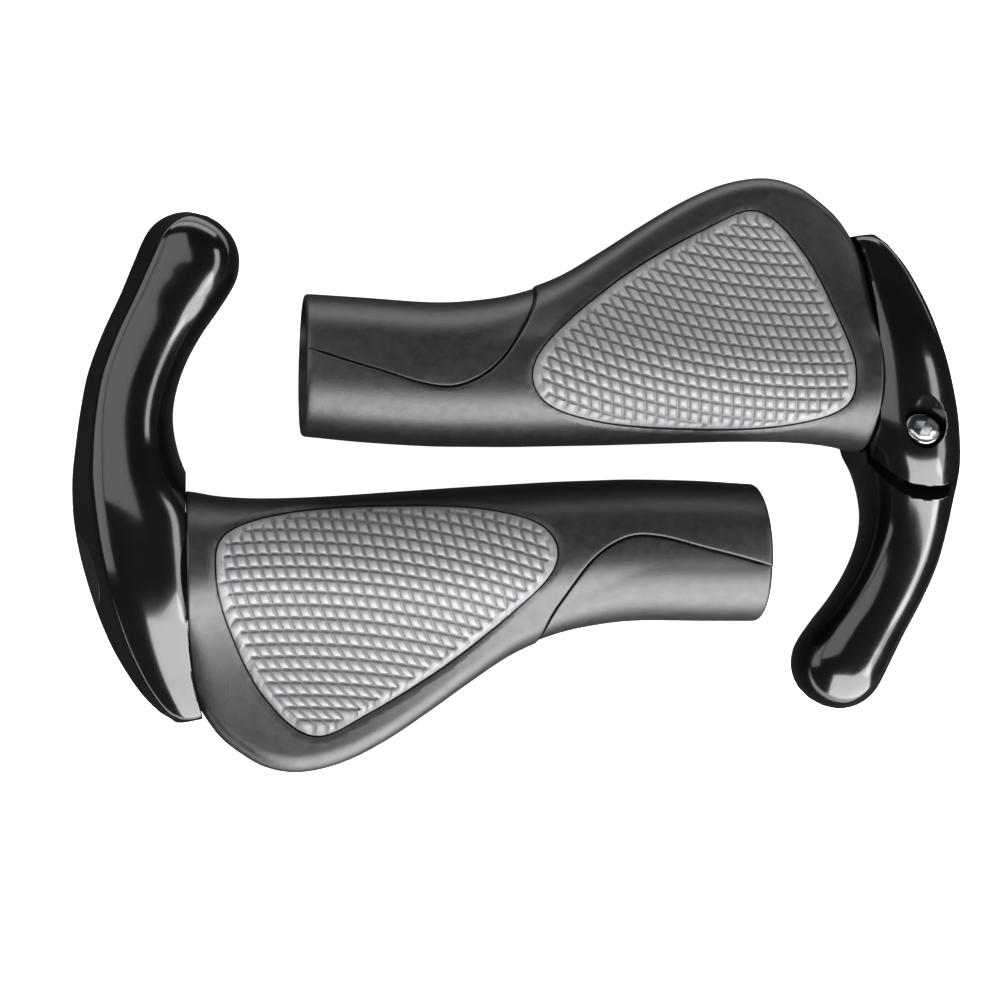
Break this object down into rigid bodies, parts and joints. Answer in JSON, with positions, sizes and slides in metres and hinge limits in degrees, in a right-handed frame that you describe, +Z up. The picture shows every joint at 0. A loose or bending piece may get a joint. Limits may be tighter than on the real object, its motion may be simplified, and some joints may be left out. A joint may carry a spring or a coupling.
{
  "type": "handlebar grip pair with bar ends",
  "caption": "Pair of handlebar grips with flared palm wings, patterned grey pads and curved black bar ends, each clamped by a socket bolt.",
  "frame": {"origin": "on the table, under the middle of the pair as it lies flat", "axes": "+X along the handlebar axes toward the right grip's bar end, +Z up from the table, +Y across the pair from the left grip to the right one"},
  "size_m": [0.2122, 0.1408, 0.0364],
  "materials": {
    "cover_rubber": "matte, fine grain",
    "panel_rubber": "matte, fine grain",
    "pad_rubber": "matte, moulded blocks",
    "sleeve_plastic": "satin",
    "bar_end_metal": "gloss black lacquer",
    "cap_plastic": "satin gloss",
    "bolt_steel": "bright plated",
    "insert_steel": "machined"
  },
  "bodies": {
    "left_grip_body": {"left_rubber_cover": "cover_rubber", "left_core_sleeve": "sleeve_plastic", "left_neck_panel": "panel_rubber", "left_upper_pad": "pad_rubber", "left_lower_pad": "pad_rubber"},
    "left_bar_end_body": {"left_bar_end": "bar_end_metal", "left_end_cap": "cap_plastic", "left_thread_insert": "insert_steel"},
    "left_washer_body": {"left_clamp_washer": "bolt_steel"},
    "left_bolt_body": {"left_clamp_bolt": "bolt_steel"},
    "right_grip_body": {"right_rubber_cover": "cover_rubber", "right_core_sleeve": "sleeve_plastic", "right_neck_panel": "panel_rubber", "right_upper_pad": "pad_rubber", "right_lower_pad": "pad_rubber"},
    "right_bar_end_body": {"right_bar_end": "bar_end_metal", "right_end_cap": "cap_plastic", "right_thread_insert": "insert_steel"},
    "right_washer_body": {"right_clamp_washer": "bolt_steel"},
    "right_bolt_body": {"right_clamp_bolt": "bolt_steel"}
  },
  "joints": [
    {"name": "left_bar_end_turn", "type": "hinge", "parent": "left_grip_body", "child": "left_bar_end_body", "pos_m": [-0.08838, -0.02262, 0.0182], "axis": [-0.9998, -0.0183, 0], "range_deg": [-25, 25]},
    {"name": "left_washer_travel", "type": "slide", "parent": "left_bar_end_body", "child": "left_washer_body", "axis": [0.0105, -0.5735, -0.8192], "range_m": [0, 0.008]},
    {"name": "left_bolt_turn", "type": "hinge", "parent": "left_washer_body", "child": "left_bolt_body", "pos_m": [-0.09115, -0.00743, 0.00753], "axis": [0.0105, -0.5735, -0.8192], "range_deg": [0, 3601]},
    {"name": "right_grip_lift", "type": "slide", "parent": "left_grip_body", "child": "right_grip_body", "axis": [0, 0, 1], "range_m": [0, 0.08]},
    {"name": "right_bar_end_turn", "type": "hinge", "parent": "right_grip_body", "child": "right_bar_end_body", "pos_m": [0.08898, 0.02148, 0.0182], "axis": [0.9998, -0.0183, 0], "range_deg": [-25, 25]},
    {"name": "right_washer_travel", "type": "slide", "parent": "right_bar_end_body", "child": "right_washer_body", "axis": [0.0105, 0.5735, 0.8192], "range_m": [0, 0.008]},
    {"name": "right_bolt_turn", "type": "hinge", "parent": "right_washer_body", "child": "right_bolt_body", "pos_m": [0.0912, 0.0062, 0.02887], "axis": [0.0105, 0.5735, 0.8192], "range_deg": [0, 3601]}
  ],
  "couplings": [
    {"joint": "left_bolt_turn", "follows": "left_washer_travel", "rad_per_m": 7854},
    {"joint": "right_bolt_turn", "follows": "right_washer_travel", "rad_per_m": 7854}
  ]
}
